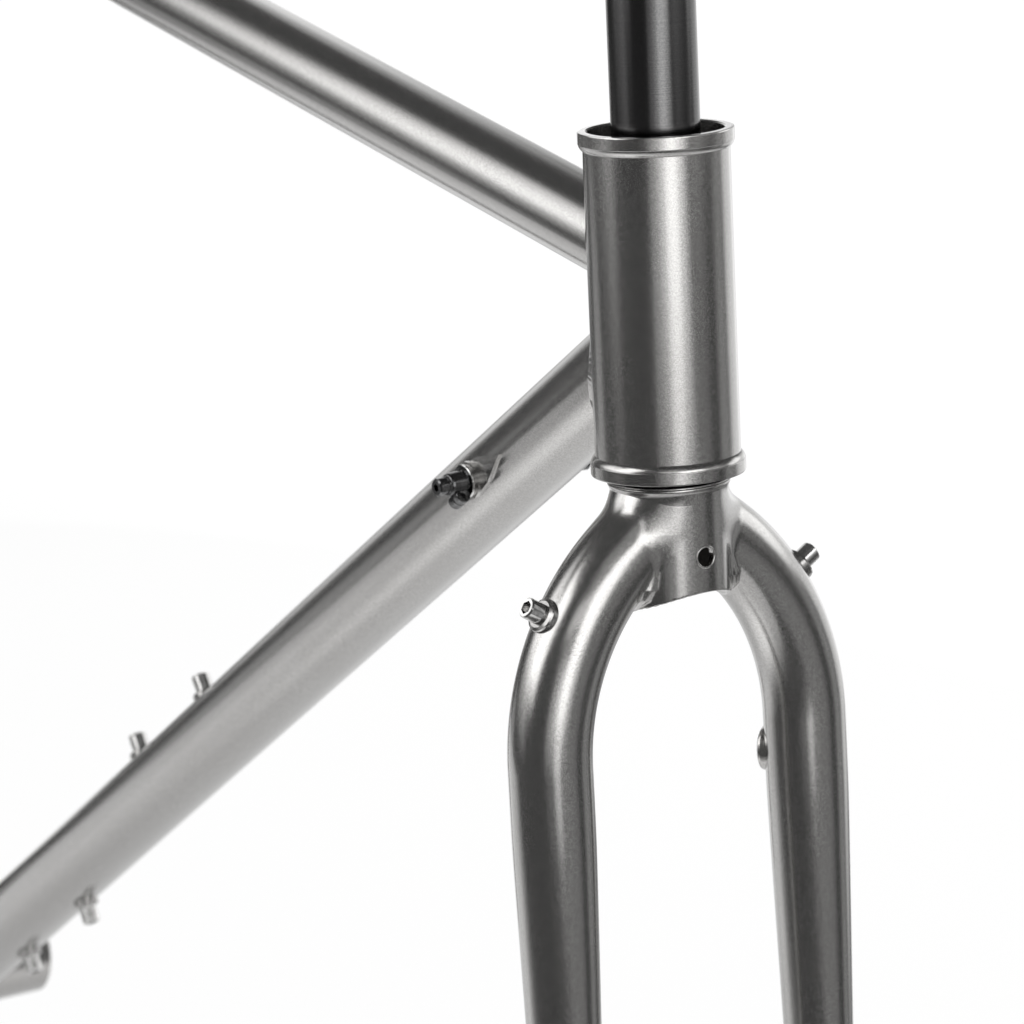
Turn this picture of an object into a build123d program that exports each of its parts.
from build123d import *
import math
import os

# Steel disc-brake bicycle frameset: welded frame plus raked unicrown fork.
# Origin at the centre of the bottom bracket shell, +X forward, +Y to the rider's left,
# +Z up, bicycle standing level. Millimetres and degrees.
# Fork and head tube pieces are built in the head frame: origin at the centre of the head
# tube's lower face, +Z up the steering axis, +X forward.

os.makedirs("parts", exist_ok=True)

# ---- driving dimensions ----------------------------------------------------------
HEAD_ANGLE = 72.0          # from horizontal
SEAT_ANGLE = 73.0          # from horizontal
HEAD_LEN = 111.4           # head tube, face to face
HEAD_OD, HEAD_ID = 47.2, 44.0
RING_OD = 50.2             # reinforcing rings at both ends of the head tube
RING_H = 4.6               # height of the lower ring's widest band
DOWN_LEN = 641.0           # steering axis to the bottom bracket centre, along the down tube
BB_OFFSET = 2.5            # bottom bracket centre above the down tube axis
DOWN_ANGLE = 32.52         # down tube below the normal of the steering axis
DOWN_Z = 45.3              # where the down tube axis meets the steering axis
DOWN_OD = 31.8
TOP_ANGLE = 12.77          # top tube above the normal of the steering axis
TOP_Z = 68.7               # where the top tube axis meets the steering axis
TOP_OD = 28.6
TOP_CUT_LEN = 620.0        # top tube before it is cut at the seat tube
TUBE_WALL = 0.9
SEAT_OD = 28.6
SLEEVE_OD = 30.0           # thickened top of the seat tube
POST_D = 27.2
REAM = 150.0               # depth of the seat post bore
SEAT_LEN = 536.0
BB_OD, BB_ID, BB_W = 40.0, 33.6, 68.0
CHAINSTAY_LEN = 445.0
BB_DROP = 75.0
REAR_HALF = 142.0 / 2      # inner faces of the rear dropouts
FRONT_HALF = 100.0 / 2     # inner faces of the fork dropouts
AXLE_D = 12.0
RAKE = 46.0
DISC_PITCH = 51.0          # brake tab hole spacing
TAB_HOLE_R = 3.1
EYELET_R, EYELET_HOLE_R = 5.5, 2.1
CAGE_PITCH = 64.0          # bottle cage hole spacing

BASE = (Align.CENTER, Align.CENTER, Align.MIN)


# ---- helpers ---------------------------------------------------------------------
def sin_cos(degrees):
    return math.sin(math.radians(degrees)), math.cos(math.radians(degrees))


def place(origin, z_dir, **x_dir):
    """Location with its Z along z_dir and, if given, its X along x_dir."""
    return Plane(origin=origin, z_dir=z_dir, **x_dir).location


def cyl(start, end, radius):
    """Solid cylinder from one point to another."""
    start, end = Vector(start), Vector(end)
    span = end - start
    return place(start, span) * Cylinder(radius, span.length, align=BASE)


def hollow(start, end, radius, wall):
    """Open tube; the bore overshoots both ends by 1 mm."""
    step = (end - start).normalized()
    return cyl(start, end, radius) - cyl(start - step, end + step, radius - wall)


def across(x, z, y0, y1, radius):
    """Cylinder parallel to Y."""
    return cyl((x, y0, z), (x, y1, z), radius)


def bore(x, z, radius, side=1):
    """Cutter parallel to Y through everything beside the wheel on one side."""
    return across(x, z, side * 30, side * 110, radius)


def ring(r_out, r_in, z0, z1):
    """Ring about Z from z0 to z1."""
    outer = Pos(0, 0, z0) * Cylinder(r_out, z1 - z0, align=BASE)
    return outer - Pos(0, 0, z0 - 1) * Cylinder(r_in, z1 - z0 + 2, align=BASE)


def lathe(outline):
    """Revolve a closed (radius, z) outline about Z."""
    return revolve(Plane.XZ * make_face(Polyline(*outline, close=True)), Axis.Z, 360)


def plate(outline, y0, y1):
    """Flat plate with an (x, z) outline between two values of y."""
    face = Plane.XZ * make_face(Polyline(*outline, close=True))
    return Pos(0, min(y0, y1), 0) * extrude(face, amount=abs(y1 - y0), dir=(0, 1, 0))


def plate_of(corners, y0, y1):
    return plate([(corner.X, corner.Z) for corner in corners], y0, y1)


def lump(shape):
    """Largest solid of a shape, dropping slivers and cut-off ends."""
    return max(shape.solids(), key=lambda solid: solid.volume)


def cut(shape, *cutters):
    """Subtract cutters one by one, keeping the largest solid each time."""
    for cutter in cutters:
        shape = lump(shape - cutter)
    return shape


def save(name, shape):
    export_step(shape, f"parts/{name}.step")


def bolt(head_r=3.5, head_h=6.8, shank_r=2.48, shank_l=9.0, socket=4.0):
    """Socket bolt along +Z with the underside of its head at z = 0."""
    head = Cylinder(head_r, head_h, align=BASE)
    head = chamfer(head.edges().group_by(Axis.Z)[-1], 0.5)
    hexagon = RegularPolygon(socket / 2, 6, major_radius=False)
    head -= Pos(0, 0, head_h - 3.2) * extrude(hexagon, 5)
    return head + Pos(0, 0, -shank_l) * Cylinder(shank_r, shank_l, align=BASE)


def flanged_boss(seat, outward, flange, skin, body_r, hole_r, depth, body_top=-0.9):
    """Boss whose flange meets the skin and whose body passes through the wall.

    The flange is a (radius, z) outline below the seat. Returns the boss and the cutter
    that opens the wall for its body.
    """
    spot = place(seat, outward)
    boss = lump(spot * lathe(flange) - skin)
    boss = lump(boss + spot * ring(body_r, hole_r, -depth, body_top))
    return boss, cyl(seat + outward, seat - outward * (depth + 3), body_r)


# ---- layout ----------------------------------------------------------------------
head_sin, head_cos = sin_cos(HEAD_ANGLE)
seat_sin, seat_cos = sin_cos(SEAT_ANGLE)
down_sin, down_cos = sin_cos(90 - HEAD_ANGLE + DOWN_ANGLE)
top_sin, top_cos = sin_cos(90 - HEAD_ANGLE - TOP_ANGLE)

# centre of the head tube's lower face
HEAD_X = DOWN_LEN * down_cos + BB_OFFSET * down_sin + DOWN_Z * head_cos
HEAD_Z = DOWN_LEN * down_sin - BB_OFFSET * down_cos - DOWN_Z * head_sin
HEAD = Plane(origin=(HEAD_X, 0, HEAD_Z), x_dir=(head_sin, 0, head_cos),
             z_dir=(-head_cos, 0, head_sin))

DOWN_DIR = Vector(-down_cos, 0, -down_sin)     # from the head tube to the bottom bracket
DOWN_NORMAL = Vector(-down_sin, 0, down_cos)   # out of the top of the down tube
TOP_DIR = Vector(-top_cos, 0, -top_sin)        # from the head tube to the seat tube
SEAT_DIR = Vector(-seat_cos, 0, seat_sin)      # up the seat tube
SEAT_BACK = Vector(-seat_sin, 0, -seat_cos)    # out of the back of the seat tube


def at_head(shape):
    return HEAD.location * shape


def steering_point(z):
    """Point on the steering axis, z above the head tube's lower face."""
    return Vector(HEAD_X - z * head_cos, 0, HEAD_Z + z * head_sin)


def seat_point(along, back=0):
    """Point in the centre plane, measured up the seat tube axis and behind it."""
    return SEAT_DIR * along + SEAT_BACK * back


down_start = steering_point(DOWN_Z)
top_start = steering_point(TOP_Z)


def down_point(along):
    """Point on the down tube axis, measured from the steering axis."""
    return down_start + DOWN_DIR * along


# solid cylinders that cut the ends of neighbouring tubes
head_cut = cyl(steering_point(-5), steering_point(HEAD_LEN + 5), HEAD_OD / 2)
bb_cut = across(0, 0, -60, 60, BB_OD / 2)
seat_cut = cyl((0, 0, 0), seat_point(SEAT_LEN + 40), SEAT_OD / 2)
down_cut = cyl(down_start, down_point(DOWN_LEN), DOWN_OD / 2)
top_cut = cyl(top_start, top_start + TOP_DIR * 560, TOP_OD / 2)

# ---- head tube and its reinforcing rings -------------------------------------------
tube_r, ring_r = HEAD_OD / 2, RING_OD / 2
mouth_r = HEAD_ID / 2
save("head_tube", at_head(lathe([
    (mouth_r + 0.4, 0), (tube_r, 0), (tube_r, HEAD_LEN),
    (mouth_r + 0.4, HEAD_LEN), (mouth_r, HEAD_LEN - 0.4), (mouth_r, 0.4)])))
save("head_tube_lower_ring", at_head(lathe([
    (tube_r, 0.0), (ring_r - 0.5, 0.0), (ring_r - 0.15, 0.3), (ring_r, 0.8), (ring_r, RING_H),
    (ring_r - 0.35, RING_H + 0.35), (ring_r - 0.8, RING_H + 0.55),
    (ring_r - 0.95, RING_H + 1.3), (tube_r + 0.3, RING_H + 2.1), (tube_r, RING_H + 2.6)])))
band_z = HEAD_LEN - (RING_H - 0.6)             # foot of the upper ring's widest band
save("head_tube_upper_ring", at_head(lathe([
    (tube_r, HEAD_LEN), (ring_r - 0.4, HEAD_LEN), (ring_r, HEAD_LEN - 0.4), (ring_r, band_z),
    (ring_r - 0.35, band_z - 0.35), (ring_r - 0.8, band_z - 0.55),
    (ring_r - 0.95, band_z - 1.2), (tube_r + 0.3, band_z - 1.9), (tube_r, band_z - 2.4)])))


# ---- main tubes --------------------------------------------------------------------
def make_seat_tube():
    """Seat tube with a thicker top, reamed for the post and slotted at the rear."""
    sleeve_foot, slot_foot, slot_w = SEAT_LEN - 27, SEAT_LEN - 29, 2.4
    tube = hollow(Vector(0, 0, 0), seat_point(SEAT_LEN), SEAT_OD / 2, TUBE_WALL)
    sleeve = cyl(seat_point(sleeve_foot), seat_point(SEAT_LEN), SLEEVE_OD / 2)
    sleeve += place(seat_point(sleeve_foot - 3), SEAT_DIR) * Cone(
        SEAT_OD / 2, SLEEVE_OD / 2, 3, align=BASE)
    sleeve -= cyl(seat_point(SEAT_LEN - 60), seat_point(SEAT_LEN + 5), POST_D / 2)
    tube = tube + sleeve
    tube -= cyl(seat_point(SEAT_LEN - REAM), seat_point(SEAT_LEN + 5), POST_D / 2)
    tube -= bb_cut
    # clamping slot, open to the rear, with a round hole at its foot
    slot = place(seat_point(SEAT_LEN - 14, 14), SEAT_DIR, x_dir=SEAT_BACK)
    tube -= slot * Box(14, slot_w, 30)
    tube -= cyl(seat_point(slot_foot), seat_point(slot_foot, 20), 2.4)
    return lump(tube)


def make_top_tube():
    tube = hollow(top_start, top_start + TOP_DIR * TOP_CUT_LEN, TOP_OD / 2, TUBE_WALL)
    tube = cut(tube, head_cut) - cyl((0, 0, 0), seat_point(SEAT_LEN + 200), SEAT_OD / 2)
    # keep the piece in front of the seat tube
    return max(tube.solids(), key=lambda solid: solid.center().X)


# the bosses further down still open holes in the seat tube and the down tube
seat_tube = make_seat_tube()
down_tube = cut(hollow(down_point(-5), down_point(DOWN_LEN), DOWN_OD / 2, TUBE_WALL),
                head_cut, bb_cut, seat_cut)
save("top_tube", make_top_tube())

# ---- bottom bracket shell ------------------------------------------------------------
shell = across(0, 0, -BB_W / 2, BB_W / 2, BB_OD / 2)
shell = chamfer(shell.edges().filter_by(GeomType.CIRCLE), 0.8)
shell -= across(0, 0, -BB_W, BB_W, BB_ID / 2)
save("bottom_bracket_shell", shell)

# ---- rear dropouts: plates with an axle boss and tongues for the stays -----------------
REAR_X, REAR_Z = -math.sqrt(CHAINSTAY_LEN ** 2 - BB_DROP ** 2), BB_DROP
REAR_AXLE = Vector(REAR_X, 0, REAR_Z)
DROP_T = 7.0                                   # plate thickness
BOSS_PROUD = 1.5                               # axle boss beyond the plate
STAY_Y = REAR_HALF + DROP_T / 2 - 0.5          # stay centres at the dropouts
SEATSTAY_TOP = seat_point(470.0)
SEATSTAY_FLAT = (REAR_AXLE - SEATSTAY_TOP).normalized()   # side-view directions, rearward
CHAINSTAY_FLAT = REAR_AXLE.normalized()


def tongue(direction, width, length, y0, y1):
    """Flat tongue leaving the axle back along a stay, its end corners cut off."""
    normal = Vector(-direction.Z, 0, direction.X)
    half = width / 2
    outline = [(0, half), (length - 4, half), (length, half - 4),
               (length, 4 - half), (length - 4, -half), (0, -half)]
    return plate_of([REAR_AXLE - direction * along + normal * off for along, off in outline],
                    y0, y1)


def rear_dropout(side):
    def out(depth):
        return side * (REAR_HALF + depth)

    eye_x, eye_z = REAR_X - 17, REAR_Z + 5     # small eyelet behind the axle
    drop = across(REAR_X, REAR_Z, out(0), out(DROP_T + BOSS_PROUD), 13.0)
    drop += tongue(CHAINSTAY_FLAT, 17.8, 46, out(0), out(DROP_T))
    drop += tongue(SEATSTAY_FLAT, 15.8, 46, out(0), out(DROP_T))
    # web between the tongues
    drop += plate_of([REAR_AXLE, REAR_AXLE - CHAINSTAY_FLAT * 34, REAR_AXLE - SEATSTAY_FLAT * 34],
                     out(1.0), out(DROP_T - 1.0))
    drop += across(eye_x, eye_z, out(0.5), out(DROP_T - 0.5), EYELET_R)
    drop += plate([(REAR_X, REAR_Z + 10), (eye_x, REAR_Z + 9.5), (eye_x, REAR_Z + 0.5),
                   (REAR_X, REAR_Z - 6)], out(0.5), out(DROP_T - 0.5))
    drop -= bore(eye_x, eye_z, EYELET_HOLE_R, side)
    drop -= bore(REAR_X, REAR_Z, AXLE_D / 2, side)
    return drop


def make_rear_tab(dropout):
    """Brake tab on the left dropout, below and in front of the seat stay."""
    up_stay = SEATSTAY_FLAT * -1
    forward = Vector(up_stay.Z, 0, -up_stay.X)

    def at(along, off):
        return REAR_AXLE + up_stay * along + forward * off

    # (along the stay from the axle, off it towards the front)
    low = (42, 27)
    high = (low[0] + 0.93 * DISC_PITCH, low[1] + 0.3676 * DISC_PITCH)
    outline = [(22, 4), (30, 29), (low[0] - 3, low[1] + 8.5), (high[0] + 1, high[1] + 9.5),
               (high[0] + 9.5, high[1]), (112, 4)]
    tab = plate_of([at(*point) for point in outline], REAR_HALF - 1.0, REAR_HALF + 4.0)
    # large window, then the two mounting holes
    for hole, radius in (((64, 16), 8.5), (low, TAB_HOLE_R), (high, TAB_HOLE_R)):
        centre = at(*hole)
        tab -= bore(centre.X, centre.Z, radius)
    return lump(tab - bore(REAR_X, REAR_Z, 14.0) - dropout)


def make_hanger(dropout):
    """Derailleur hanger on the outer face of the right dropout, and its two screws.

    Returns the dropout with its screw holes.
    """
    inner = -(REAR_HALF + DROP_T + BOSS_PROUD)
    outer = inner - 4.5
    low_x, low_z = REAR_X - 4, REAR_Z - 27     # lower eye
    hanger = plate([(REAR_X - 9, REAR_Z - 8), (REAR_X + 9, REAR_Z - 8),
                    (REAR_X + 4, low_z + 4), (REAR_X - 12, low_z + 2)], outer, inner)
    hanger += across(low_x, low_z, inner, outer, 8.5)
    hanger += across(REAR_X, REAR_Z, inner, outer, 12.5)
    hanger -= bore(REAR_X, REAR_Z, AXLE_D / 2, -1)
    hanger -= bore(low_x, low_z, 4.3, -1)
    screws = []
    for angle in (35, 145):
        sine, cosine = sin_cos(angle)
        x, z = REAR_X + 9.3 * cosine, REAR_Z + 9.3 * sine
        hole = bore(x, z, 1.25, -1)
        hanger -= hole
        dropout -= hole
        screws.append(place((x, outer, z), (0, -1, 0)) * bolt(
            head_r=1.9, head_h=1.0, shank_r=1.23, shank_l=8.0, socket=1.5))
    save("derailleur_hanger", hanger)
    save("hanger_screws", Compound(children=screws))
    return dropout


drop_left = rear_dropout(1)
rear_tab = make_rear_tab(drop_left)
drop_right = make_hanger(rear_dropout(-1))
save("rear_dropout_left", drop_left)
save("rear_dropout_right", drop_right)
save("rear_brake_tab", rear_tab)

# side, name, dropout, extra pieces the stays are cut by
REAR_SIDES = ((1, "left", drop_left, [rear_tab]), (-1, "right", drop_right, []))

# ---- chain stays -----------------------------------------------------------------------
# (fraction of the path, outer radius)
CHAINSTAY_RADII = [(0, 10.6), (0.1, 10.9), (0.22, 10.9), (0.36, 10.6), (0.5, 10.1),
                   (0.64, 9.6), (0.78, 9.0), (0.9, 8.4), (1.0, 8.0)]


def loft_along(path, stations):
    """Loft circles placed square to a path at (fraction, radius) stations."""
    return loft([Plane(origin=path.position_at(u), z_dir=path.tangent_at(u)) * Circle(radius)
                 for u, radius in stations])


def chainstay(side):
    """Solid outside and bore of a chain stay."""
    path = Spline((-8, side * 21.5, 1.2), (-70, side * 28.0, 12.0), (-180, side * 42.5, 30.8),
                  (-300, side * 60.0, 51.3), (REAR_X + 34, side * STAY_Y, REAR_Z - 5.8))
    # the bore ends just short of the dropout end
    inside = CHAINSTAY_RADII[:-1] + [(0.985, CHAINSTAY_RADII[-1][1])]
    return (loft_along(path, CHAINSTAY_RADII),
            loft_along(path, [(u, radius - TUBE_WALL) for u, radius in inside]))


chainstay_skins = []
for side, name, dropout, tabs in REAR_SIDES:
    outside, inside = chainstay(side)
    chainstay_skins.append(outside)
    stay = lump(cut(outside, bb_cut, inside) - seat_cut - down_cut)
    save("chainstay_" + name, cut(stay, dropout, *tabs))

# ---- seat stays and their bosses ---------------------------------------------------------
SEATSTAY_R, SEATSTAY_BORE_R = 7.0, 6.2
SEATSTAY_FOOT = REAR_AXLE - SEATSTAY_FLAT * 34


def seatstay_ends(side):
    return (SEATSTAY_TOP + Vector(0, side * 13.0, 0),
            SEATSTAY_FOOT + Vector(0, side * STAY_Y, 0))


def seatstay(side):
    """Solid outside with a domed upper end, and the bore."""
    top, foot = seatstay_ends(side)
    axis = (foot - top).normalized()
    length = (foot - top).length
    spot = place(top, axis, x_dir=(-axis.Z, 0, axis.X)) * Rot(0, 0, 41 * side)
    outside = spot * lathe([(0, -7), (4.0, -7), (5.8, -4.6), (SEATSTAY_R, -1.2),
                            (SEATSTAY_R, length), (0, length)])
    inside = spot * lathe([(0, -2), (SEATSTAY_BORE_R, -2), (SEATSTAY_BORE_R, length - 17),
                           (0, length - 17)])
    return outside, inside


def rack_boss(side):
    """Boss on the outer side of a seat stay and its hole cutter."""
    top, foot = seatstay_ends(side)
    axis = (foot - top).normalized()
    outward = Vector(0, side, 0)
    outward = (outward - axis * outward.dot(axis)).normalized()
    seat = top + (foot - top) * 0.22 + outward * (SEATSTAY_R + 2.0)
    flange = [(2.1, 0), (3.9, 0), (4.75, -0.5), (5.0, -1.1), (5.0, -4.6), (2.1, -4.6)]
    return flanged_boss(seat, outward, flange, cyl(top, foot, SEATSTAY_R),
                        body_r=3.6, hole_r=2.1, depth=7.0)


for side, name, dropout, tabs in REAR_SIDES:
    outside, inside = seatstay(side)
    save("seatstay_" + name,
         cut(outside, seat_cut, inside, dropout, top_cut, rack_boss(side)[1], *tabs))
rack_left = rack_boss(1)[0]
save("rack_bosses_seat_stays",
     Compound(children=[rack_left, mirror(rack_left, about=Plane.XZ)]))


# ---- bridges between the stays -------------------------------------------------------------
def bridge(x, z, half_length, stays):
    """Round bar between two stays: the piece nearest the centre plane."""
    bar = across(x, z, -half_length, half_length, 6.0)
    for stay in stays:
        bar -= stay
    return min(bar.solids(), key=lambda solid: abs(solid.center().Y))


middle = SEATSTAY_TOP + (SEATSTAY_FOOT - SEATSTAY_TOP) * 0.25
upper_bridge = bridge(middle.X, middle.Z, 32,
                      [cyl(*seatstay_ends(side), SEATSTAY_R) for side in (1, -1)])
upper_bridge -= cyl((middle.X - 20, 0, middle.Z - 6), (middle.X + 20, 0, middle.Z + 6), 2.6)
save("seatstay_bridge", lump(upper_bridge))
save("chainstay_bridge", lump(bridge(-66, 11.2, 24, chainstay_skins)))

# ---- bottle cage bosses ------------------------------------------------------------------
CAGE_UPPER = 390.4         # centre of the pair on top of the down tube, from the steering axis
CAGE_LOWER = 543.2         # centre of the pair under the down tube
CAGE_SEAT = 215.0          # lower boss of the seat tube pair, from the bottom bracket
CAGE_PROUD = 2.0
down_skin = cyl(down_point(-30), down_point(DOWN_LEN + 30), DOWN_OD / 2)
seat_skin = cyl(seat_point(-30), seat_point(600), SEAT_OD / 2)


def down_face(along, angle):
    """Point and outward direction on the down tube skin; 0 is the top, 90 the right side."""
    sine, cosine = sin_cos(angle)
    outward = DOWN_NORMAL * cosine + Vector(0, -1, 0) * sine
    return down_point(along) + outward * (DOWN_OD / 2), outward


def cage_boss(face, outward, hole_r, skin, skin_r):
    flange_r, dome = 5.4, 1.1
    # deep enough for the flange's edge to reach the curved skin
    foot = -CAGE_PROUD - (flange_r ** 2 / (2 * skin_r) + 0.6)
    flange = [(hole_r, 0), (flange_r - dome, 0), (flange_r - 0.25, -dome * 0.5),
              (flange_r, -dome), (flange_r, foot), (hole_r, foot)]
    return flanged_boss(face + outward * CAGE_PROUD, outward, flange, skin,
                        body_r=4.0, hole_r=hole_r, depth=CAGE_PROUD + 7.0)


for name, centre, angle in (("upper", CAGE_UPPER, 0), ("lower", CAGE_LOWER, 180)):
    bosses, bolts = [], []
    for along in (centre - CAGE_PITCH / 2, centre + CAGE_PITCH / 2):
        face, outward = down_face(along, angle)
        boss, hole = cage_boss(face, outward, 2.5, down_skin, DOWN_OD / 2)
        bosses.append(boss)
        bolts.append(place(face + outward * CAGE_PROUD, outward) * bolt())
        down_tube = cut(down_tube, hole)
    save("bottle_bosses_down_tube_" + name, Compound(children=bosses))
    save("bottle_bolts_down_tube_" + name, Compound(children=bolts))

# seat tube pair on the front of the tube, open holes
bosses = []
for along in (CAGE_SEAT, CAGE_SEAT + CAGE_PITCH):
    boss, hole = cage_boss(seat_point(along, -SEAT_OD / 2), SEAT_BACK * -1, 2.1,
                           seat_skin, SEAT_OD / 2)
    bosses.append(boss)
    seat_tube = cut(seat_tube, hole)
save("bottle_bosses_seat_tube", Compound(children=bosses))

# ---- shift-cable stops on the sides of the down tube ---------------------------------------
STOP_ALONG = 109.0         # from the steering axis
STOP_ANGLE = 92.5          # just under the middle of the tube's side
STOP_HOLE_R = 2.55
# diamond saddle outline: (along the tube, across it)
SADDLE = [(-21, 0), (-9, 4.8), (0, 6.2), (6.5, 4.6), (8.5, 0), (6.5, -4.6), (0, -6.2),
          (-9, -4.8)]


def shifter_boss(spot, face, outward, hole):
    """Diamond saddle on the skin with a stepped round post and a square on top."""
    saddle = place(face - outward * 3, outward, x_dir=DOWN_DIR) * extrude(
        make_face(Polyline(*SADDLE, close=True)), 4.0)
    saddle = lump(saddle - down_skin)
    post = spot * (ring(6.6, 2.5, 1.0, 2.3) + ring(5.6, 2.5, 2.3, 3.0) + ring(4.0, 2.5, -4.5, 1.0))
    square = Box(6.4, 6.4, 2.0, align=BASE) - Pos(0, 0, -1) * Cylinder(2.5, 6, align=BASE)
    return lump((saddle - hole) + post + spot * (Pos(0, 0, 3.0) * square))


def cable_stop():
    """Flanged cap over the square, with a side lobe that carries the housing."""
    lobe_y, lobe_z = 5.4, 7.5
    cap = (ring(6.0, STOP_HOLE_R, 3.15, 4.2) + ring(4.7, STOP_HOLE_R, 4.2, 10.6)
           + ring(4.1, STOP_HOLE_R, 10.6, 11.5))
    cap -= Pos(0, 0, 2.4) * Box(6.5, 6.5, 2.7, align=BASE)
    lobe = Pos(1.2, lobe_y, lobe_z) * Rot(0, 90, 0) * Cylinder(2.8, 7.0)
    lobe += Pos(1.2, lobe_y / 2, lobe_z) * Box(5.0, 5.4, 4.2)
    lobe -= Cylinder(STOP_HOLE_R, 40)
    cap = cap + lobe
    # the bare cable leaves towards the bottom bracket, the housing seat faces the head tube
    cap -= Pos(0, lobe_y, lobe_z) * Rot(0, 90, 0) * Cylinder(1.0, 14.0)
    cap -= Pos(-6.3, lobe_y, lobe_z) * Rot(0, 90, 0) * Cylinder(2.1, 6.0, align=BASE)
    return lump(cap)


# One cap serves both sides, so its lobe sits under the middle of the tube on the right
# and over it on the left.
for name, angle in (("right", STOP_ANGLE), ("left", -STOP_ANGLE)):
    face, outward = down_face(STOP_ALONG, angle)
    spot = place(face, outward, x_dir=DOWN_DIR)
    hole = cyl(face + outward * 10, face - outward * 7, 4.0)
    save("shifter_boss_" + name, shifter_boss(spot, face, outward, hole))
    down_tube = cut(down_tube, hole)
    save("cable_stop_" + name, spot * cable_stop())
    save("cable_stop_bolt_" + name, spot * (Pos(0, 0, 11.5) * bolt(
        head_r=3.1, head_h=3.6, shank_r=2.48, shank_l=12.5, socket=2.5)))

save("seat_tube", seat_tube)
save("down_tube", down_tube)

# ---- seat clamp: collar with two ears behind the seat tube ----------------------------------
COLLAR_R, COLLAR_H = 17.6, 15.0
CLAMP_BOLT_X, CLAMP_BOLT_Z = 20.0, 7.5
clamp_spot = place(seat_point(SEAT_LEN - COLLAR_H), SEAT_DIR, x_dir=SEAT_BACK)
clamp = ring(COLLAR_R, SLEEVE_OD / 2, 0, COLLAR_H)
ears = Pos(19.5, 0, CLAMP_BOLT_Z) * Box(9, 13.0, 12)
lip = lathe([(14.2, COLLAR_H), (COLLAR_R, COLLAR_H), (COLLAR_R, COLLAR_H + 1.6),
             (14.2, COLLAR_H + 1.6)])
clamp = clamp + (ears - Cylinder(SLEEVE_OD / 2, 60)) + lip
clamp -= Pos(20, 0, 8) * Box(16, 2.4, 30)
# bolt hole and the counterbore for its head, on the left
clamp -= Pos(CLAMP_BOLT_X, 0, CLAMP_BOLT_Z) * Rot(90, 0, 0) * Cylinder(2.55, 40)
clamp -= Pos(CLAMP_BOLT_X, -9.5, CLAMP_BOLT_Z) * Rot(90, 0, 0) * Cylinder(4.5, 6)
save("seat_clamp", lump(clamp_spot * clamp))
clamp_bolt = Pos(CLAMP_BOLT_X, -6.5, CLAMP_BOLT_Z) * Rot(90, 0, 0) * bolt(
    head_r=4.2, head_h=5.0, shank_r=2.5, shank_l=12.8, socket=4.0)
save("seat_clamp_bolt", clamp_spot * clamp_bolt)

# ---- head bearings, recessed inside the head tube -------------------------------------------
BEARING_R, BEARING_BORE_R, BEARING_H = 20.9, 15.9, 7.0
BALL_PATH_R, BALL_R, BALL_COUNT = 18.4, 1.5, 24
LIP_BORE_R = 18.9
UPPER_Z, LOWER_Z = 94.5, 4.0
# name, foot of the bearing, cup wall and cup lip as (from, to) heights above that foot
for name, foot, wall, lip in (("upper", UPPER_Z, (-2, 7.5), (-4, 0)),
                              ("lower", LOWER_Z, (-0.5, 9), (7, 11))):
    mid = foot + BEARING_H / 2
    groove = Pos(0, 0, mid) * Torus(BALL_PATH_R, BALL_R + 0.03)
    cup = (ring(HEAD_ID / 2, BEARING_R, foot + wall[0], foot + wall[1])
           + ring(HEAD_ID / 2, LIP_BORE_R, foot + lip[0], foot + lip[1]))
    save(name + "_bearing_cup", at_head(cup))
    save(name + "_bearing_outer_race",
         at_head(ring(BEARING_R, 19.4, foot, foot + BEARING_H) - groove))
    save(name + "_bearing_inner_race",
         at_head(ring(17.4, BEARING_BORE_R, foot, foot + BEARING_H) - groove))
    angles = [2 * math.pi * k / BALL_COUNT for k in range(BALL_COUNT)]
    save(name + "_bearing_balls", Compound(children=[
        at_head(Pos(BALL_PATH_R * math.cos(a), BALL_PATH_R * math.sin(a), mid) * Sphere(BALL_R))
        for a in angles]))

# ---- steerer, centring ring and crown race ----------------------------------------------------
STEERER_R, STEERER_BORE_R = 28.6 / 2, 24.4 / 2
STEERER_TOP = 297.0        # top of the uncut steerer
SEAT_R = 15.0              # crown race seat
WAIST_R = 14.1             # steerer between the bearings
save("steerer_tube", at_head(lathe([
    (STEERER_BORE_R, -15), (STEERER_R, -15), (STEERER_R, -2.8), (SEAT_R, -2.8), (SEAT_R, 11.5),
    (WAIST_R, 13.0), (WAIST_R, 112.6), (STEERER_R, 113.0), (STEERER_R, STEERER_TOP - 0.5),
    (STEERER_R - 0.5, STEERER_TOP), (STEERER_BORE_R, STEERER_TOP)])))
# split ring, so that it opens over the top of the steerer and closes on the bearing seat
centring = lathe([
    (WAIST_R, UPPER_Z + 1), (BEARING_BORE_R, UPPER_Z + 1), (BEARING_BORE_R, UPPER_Z + 7),
    (17.6, UPPER_Z + 8.8), (17.6, UPPER_Z + 9.6), (WAIST_R, UPPER_Z + 9.6)])
save("centring_ring", at_head(centring - Pos(-16, 0, UPPER_Z + 5) * Box(8, 1.8, 12)))
save("crown_race", at_head(lathe([
    (SEAT_R, -2.3), (19.7, -2.3), (20.0, -2.0), (20.0, -1.3), (19.6, -0.9), (17.6, -0.9),
    (17.2, 3.4), (17.2, 3.9), (BEARING_BORE_R, 3.9), (BEARING_BORE_R, 11.0), (SEAT_R, 11.0)])))

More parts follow.
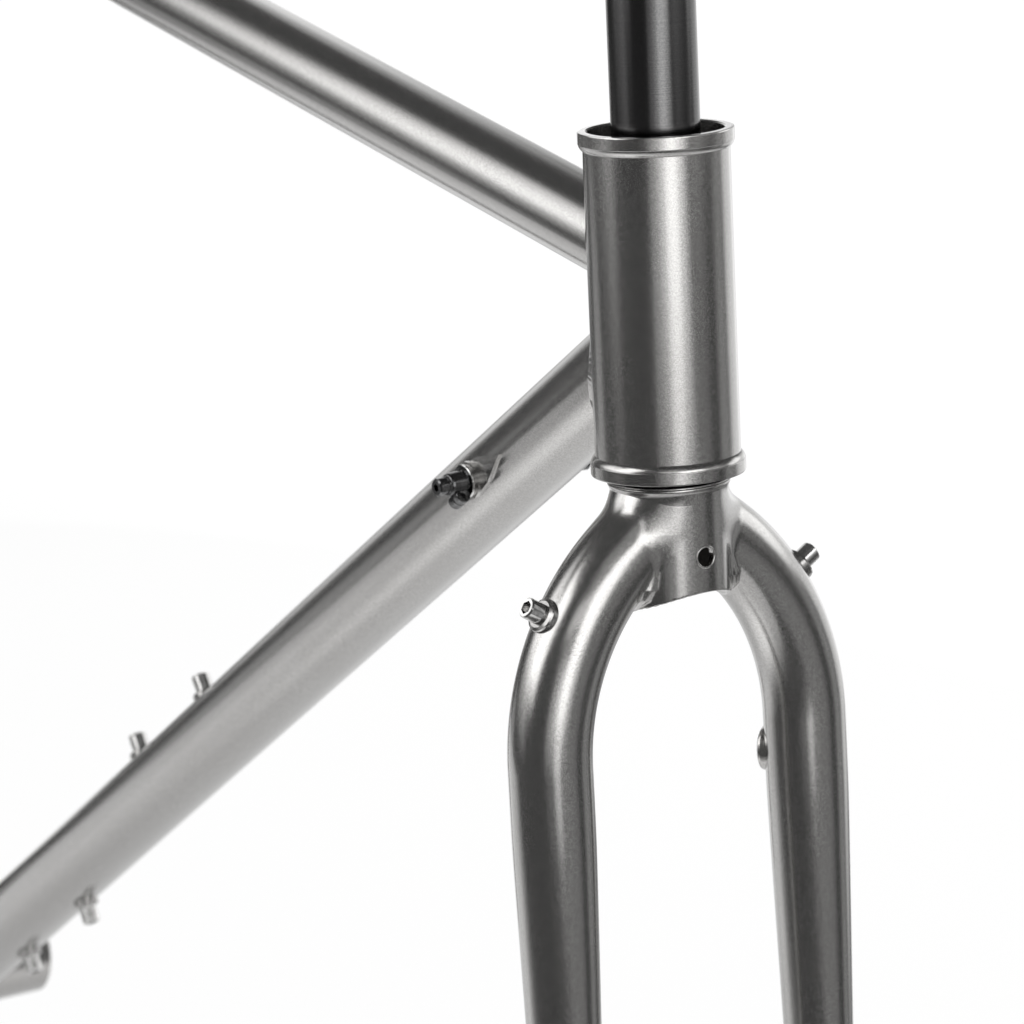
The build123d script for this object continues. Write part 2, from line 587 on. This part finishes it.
# ---- crown neck ---------------------------------------------------------------------------------
NECK_R, NECK_BORE_R = 38.1 / 2, 32.1 / 2
ARCH_R = 34.0              # rounded cut-out over the wheel
ARCH_Z = -37.2 - ARCH_R    # its centre
neck = lathe([
    (STEERER_R, -2.8), (19.5, -2.8), (19.85, -3.2), (19.7, -4.2), (18.5, -5.2), (18.1, -6.2),
    (18.1, -7.4), (18.6, -9.0), (NECK_R, -10.6), (NECK_R, -56), (NECK_BORE_R, -56),
    (NECK_BORE_R, -19), (STEERER_R, -15)])
arch = Pos(0, 0, ARCH_Z) * Rot(0, 90, 0) * Cylinder(ARCH_R, 80)
neck = neck - arch - Pos(0, 0, ARCH_Z - 100) * Box(90, 90, 200)
# hole from front to back
neck -= Pos(0, 0, -25.4) * Rot(0, 90, 0) * Cylinder(3.3, 60)
save("crown_neck", at_head(lump(neck)))

# ---- fork blades: into the crown, bend, straight, then the forward rake --------------------------
AXLE_X = RAKE
AXLE_Z = -(HEAD_Z - BB_DROP + RAKE * head_cos) / head_sin   # level with the rear axle
BLADE_R = 13.75            # top radius
BLADE_WALL = 1.1
BLADE_Y = 51.4             # offset from the centre plane at the foot of the bend
BEND_Z, BEND_R = -89.9, 82.7
BEND_ANGLE = 51.6
BEND_Y = BLADE_Y - BEND_R  # centre of the bend
CROWN_X, STRAIGHT_X = -0.6, 0.5   # x at the top and at the foot of the bend
LEAN, SPLAY = 0.0177, 0.0026      # forward and outward drift per mm down
RAKE_Z = -232.0            # where the rake starts
BLADE_END = AXLE_Z + 16.0


def blade_radius(z):
    return min(BLADE_R, max(7.2, 12.914 + 0.0236 * (z + 150)))


def blade_y(z):
    return BLADE_Y + SPLAY * (BEND_Z - z)


def straight_x(z):
    return STRAIGHT_X + LEAN * (BEND_Z - z)


def blade_stations(side):
    """Stations down the blade as (x, y, z, upward direction)."""
    stations = []
    bend = math.radians(BEND_ANGLE)
    sine, cosine = math.sin(bend), math.cos(bend)
    for reach in (16.0, 8.0):
        stations.append((CROWN_X, BEND_Y + BEND_R * cosine - sine * reach,
                         BEND_Z + BEND_R * sine + cosine * reach, (0, -sine, cosine)))
    for k in range(9):
        b = bend * (1 - k / 8)
        stations.append((CROWN_X + (STRAIGHT_X - CROWN_X) * k / 8,
                         BEND_Y + BEND_R * math.cos(b), BEND_Z + BEND_R * math.sin(b),
                         (0, -math.sin(b), math.cos(b))))
    for k in range(7):
        z = BEND_Z - 18 - 20 * k
        stations.append((straight_x(z), blade_y(z), z, (-LEAN, -SPLAY, 1)))
    # rake arc: starts along the straight part, ends 1.5 behind the axle
    start_x = straight_x(RAKE_Z)
    height = RAKE_Z - BLADE_END
    start = math.atan(LEAN)
    end = 2 * math.atan((AXLE_X - 1.5 - start_x) / height) - start
    arc_r = height / (math.sin(end) - math.sin(start))
    for k in range(1, 9):
        t = start + (end - start) * k / 8
        z = RAKE_Z - arc_r * (math.sin(t) - math.sin(start))
        x = start_x + arc_r * (math.cos(start) - math.cos(t))
        stations.append((x, blade_y(z), z, (-math.sin(t), 0, math.cos(t))))
    return [(x, side * y, z, (up[0], side * up[1], up[2])) for x, y, z, up in stations]


def blade_loft(stations, shrink=0.0):
    return loft([Plane(origin=(x, y, z), z_dir=up, x_dir=(1, 0, -up[0] / up[2]))
                 * Circle(blade_radius(z) - shrink) for x, y, z, up in stations])


# ---- fork dropouts and brake tab -------------------------------------------------------------------
def fork_dropout(side):
    def out(depth):
        return side * (FRONT_HALF + depth)

    eye_x, eye_z = AXLE_X - 19, AXLE_Z + 6     # small eyelet behind the axle
    drop = across(AXLE_X, AXLE_Z, out(0), out(9.0), 12.0)
    drop += plate([(AXLE_X - 11.5, AXLE_Z - 1), (AXLE_X - 14.0, AXLE_Z + 34),
                   (AXLE_X - 3.5, AXLE_Z + 36), (AXLE_X + 9.0, AXLE_Z + 6)], out(0), out(7.5))
    drop += across(eye_x, eye_z, out(1), out(6.5), EYELET_R)
    drop += plate([(AXLE_X - 6, AXLE_Z + 14), (AXLE_X - 20, AXLE_Z + 11.3),
                   (AXLE_X - 20, AXLE_Z + 0.7), (AXLE_X - 6, AXLE_Z - 5)], out(1), out(6.5))
    drop -= bore(eye_x, eye_z, EYELET_HOLE_R, side)
    drop -= bore(AXLE_X, AXLE_Z, AXLE_D / 2, side)
    return drop


def make_fork_tab():
    """Brake tab behind the left blade; outline and holes are (x, z) from the axle."""
    outline = [(-12, 12), (-40, 21), (-47, 34), (-57, 82), (-52, 94), (-34, 104), (-16, 60)]
    low_x, low_z, high_x = -38.1, 33.8, -47.5
    high_z = low_z + math.sqrt(DISC_PITCH ** 2 - (low_x - high_x) ** 2)
    tab = plate([(AXLE_X + x, AXLE_Z + z) for x, z in outline], 49.5, 54.5)
    # two mounting holes, then the large window
    for x, z, radius in ((low_x, low_z, TAB_HOLE_R), (high_x, high_z, TAB_HOLE_R),
                         (-33, 60, 7.0)):
        tab -= bore(AXLE_X + x, AXLE_Z + z, radius)
    return tab


# ---- fork bosses --------------------------------------------------------------------------------------
def fork_boss(side, skin):
    """Boss on the outside of the crown bend, its hole cutter and its bolt."""
    sine, cosine = sin_cos(31.5)               # place round the bend, above horizontal
    outward = Vector(0, side * cosine, sine)
    centre = Vector(-0.2, side * (BEND_Y + BEND_R * cosine), BEND_Z + BEND_R * sine)
    seat = centre + outward * (BLADE_R + 1.8)
    flange = [(2.5, 0), (4.6, 0), (5.6, -0.5), (5.8, -1.1), (5.8, -4.2), (2.5, -4.2)]
    boss, hole = flanged_boss(seat, outward, flange, skin, body_r=4.6, hole_r=2.5, depth=9.0)
    return boss, hole, place(seat, outward) * bolt(head_h=5.9)


def hose_boss(skin):
    """Low round boss for the brake hose, inner rear of the left blade."""
    z = -102.6
    outward = Vector(-0.82, -0.572, 0).normalized()
    seat = Vector(straight_x(z), BLADE_Y, z) + outward * (BLADE_R + 1.4)
    flange = [(2.1, 0), (6.4, 0), (7.4, -0.6), (7.7, -1.4), (7.7, -6.0), (2.1, -6.0)]
    return flanged_boss(seat, outward, flange, skin, body_r=4.0, hole_r=2.1, depth=10.0,
                        body_top=-1.2)


neck_cut = Cylinder(NECK_R, 300)
for side, name in ((1, "left"), (-1, "right")):
    stations = blade_stations(side)
    outside = blade_loft(stations)
    # the bore stops one station short of the blade end
    inside = blade_loft(stations[:-1], BLADE_WALL)
    dropout = fork_dropout(side)
    boss, hole, boss_bolt = fork_boss(side, outside)
    blade = cut(outside, neck_cut, inside, dropout, hole)
    if name == "left":
        save("fork_brake_tab", at_head(lump(make_fork_tab() - outside - dropout)))
        guide, hole = hose_boss(outside)
        save("hose_guide_boss", at_head(guide))
        blade = cut(blade, hole)
    save("fork_boss_" + name, at_head(boss))
    save("fork_boss_bolt_" + name, at_head(boss_bolt))
    save("fork_blade_" + name, at_head(blade))
    save("fork_dropout_" + name, at_head(dropout))
